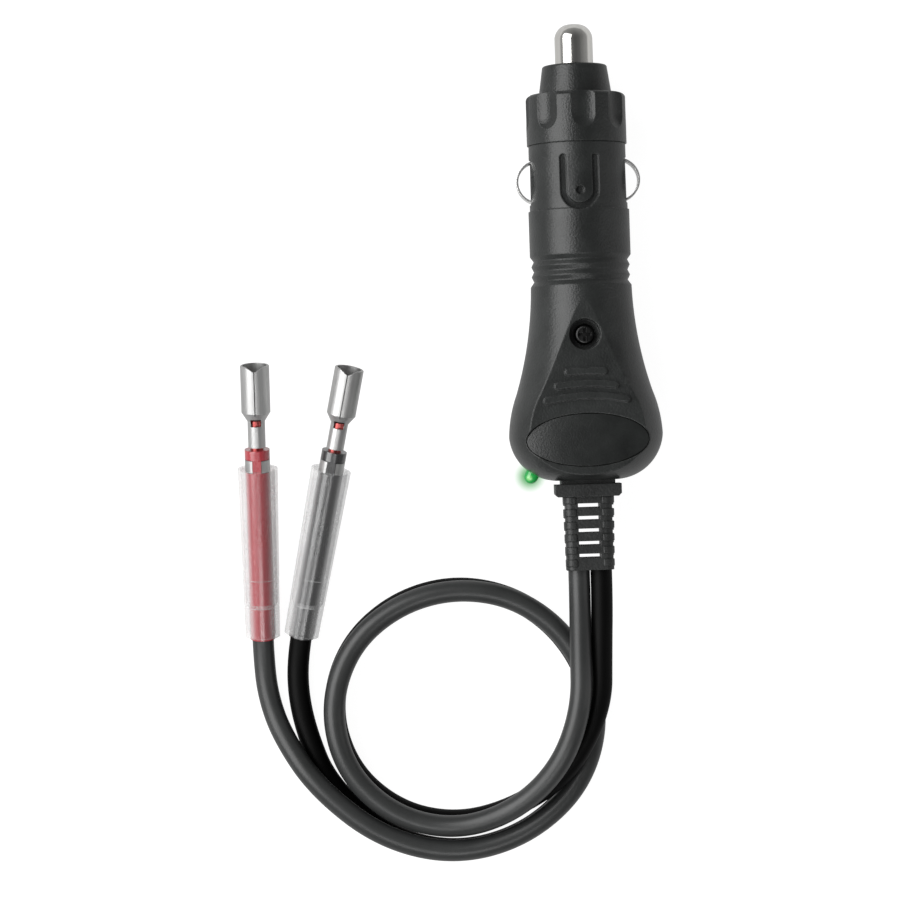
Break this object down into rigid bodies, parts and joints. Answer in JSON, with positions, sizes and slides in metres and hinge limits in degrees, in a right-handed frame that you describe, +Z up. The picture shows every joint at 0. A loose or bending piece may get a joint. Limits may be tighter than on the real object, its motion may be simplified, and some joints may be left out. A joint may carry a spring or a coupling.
{
  "type": "fused 12 volt car accessory plug with bullet terminals",
  "caption": "Car accessory plug with a sprung centre pin, side contacts and screw cap; a looped pair of leads runs from its strain relief to plated bullet terminals.",
  "frame": {"origin": "on the surface it lies on, under the middle of the plug with its strain relief", "axes": "+Y along the plug's axis towards the contact tip, +Z up through its front face, +X to the plug's right as seen from the front"},
  "size_m": [0.0883, 0.1734, 0.0219],
  "materials": {
    "black_housing": "fine moulded texture, satin",
    "black_cap": "fine moulded texture, satin",
    "inlay_plastic": "smooth satin",
    "nickel_tip": "turned and nickel plated",
    "spring_steel_strip": "bright strip",
    "fuse_metal": "nickel plated",
    "fuse_glass": "clear",
    "steel_wire": "drawn",
    "seat_brass": "stamped",
    "screw_steel": "blackened",
    "lamp_green": "lit, clear moulded",
    "board_green": "solder mask",
    "resistor_body": "lacquered",
    "relief_rubber": "moulded, satin",
    "grey_jacket": "extruded, satin",
    "black_jacket": "extruded, satin",
    "core_copper": "stranded",
    "plated_sheet": "folded and tin plated",
    "red_tube": "extruded",
    "black_tube": "extruded",
    "clear_sleeve": "clear, soft"
  },
  "bodies": {
    "housing": {"front_shell": "black_housing", "rear_shell": "black_housing", "oval_inlay": "inlay_plastic", "contact_spring": "steel_wire", "spring_seat": "seat_brass", "housing_screw": "screw_steel", "indicator_lamp": "lamp_green", "circuit_board": "board_green", "resistor": "resistor_body", "strain_relief": "relief_rubber", "positive_core": "core_copper", "negative_core": "core_copper", "positive_lead": "grey_jacket", "negative_lead": "black_jacket", "positive_terminal": "plated_sheet", "negative_terminal": "plated_sheet", "positive_strands": "core_copper", "negative_strands": "core_copper", "red_marker_tube": "red_tube", "black_marker_tube": "black_tube"},
    "cap": {"nose_cap": "black_cap"},
    "tip": {"contact_tip": "nickel_tip", "fuse_glass": "fuse_glass", "fuse_front_cap": "fuse_metal", "fuse_rear_cap": "fuse_metal", "fuse_wire": "steel_wire"},
    "left_spring": {"left_contact": "spring_steel_strip"},
    "right_spring": {"right_contact": "spring_steel_strip"},
    "positive_cover": {"positive_sleeve": "clear_sleeve"},
    "negative_cover": {"negative_sleeve": "clear_sleeve"}
  },
  "joints": [
    {"name": "cap_lift", "type": "slide", "parent": "housing", "child": "cap", "axis": [0, 1, 0], "range_m": [0, 0.014]},
    {"name": "tip_press", "type": "slide", "parent": "cap", "child": "tip", "axis": [0, -1, 0], "range_m": [0, 0.004], "stiffness_N_per_m": 800, "springref_m": -0.003, "deforming": ["contact_spring"]},
    {"name": "left_contact_press", "type": "slide", "parent": "housing", "child": "left_spring", "axis": [1, 0, 0], "range_m": [0, 0.002], "stiffness_N_per_m": 1500, "springref_m": -0.0005},
    {"name": "right_contact_press", "type": "slide", "parent": "housing", "child": "right_spring", "axis": [-1, 0, 0], "range_m": [0, 0.002], "stiffness_N_per_m": 1500, "springref_m": -0.0005},
    {"name": "positive_sleeve_slide", "type": "slide", "parent": "housing", "child": "positive_cover", "axis": [0.0136, 0.9743, 0.225], "range_m": [0, 0.02]},
    {"name": "negative_sleeve_slide", "type": "slide", "parent": "housing", "child": "negative_cover", "axis": [0.2109, 0.9513, 0.225], "range_m": [0, 0.02]}
  ]
}
